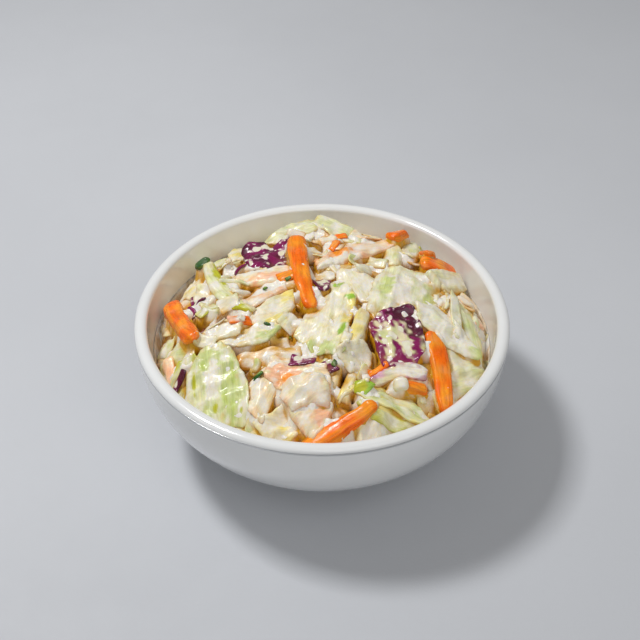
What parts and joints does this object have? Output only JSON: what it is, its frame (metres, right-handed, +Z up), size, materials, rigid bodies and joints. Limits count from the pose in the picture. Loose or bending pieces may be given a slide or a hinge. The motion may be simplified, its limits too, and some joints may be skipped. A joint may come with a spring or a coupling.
{
  "type": "bowl of coleslaw",
  "caption": "Small round white bowl heaped with creamy coleslaw: chopped cabbage, carrot batons and red cabbage in dressing",
  "frame": {"origin": "centre of the circle the foot ring stands on, which is the bottom centre of the bounding box", "axes": "+Z up along the bowl's axis, +X to the right and +Y away from the side that the picture shows"},
  "size_m": [0.13, 0.13, 0.0572],
  "materials": {
    "porcelain": "gloss",
    "dressed_slaw": "wet satin"
  },
  "bodies": {
    "root": {"bowl": "porcelain", "coleslaw": "dressed_slaw"}
  },
  "joints": []
}
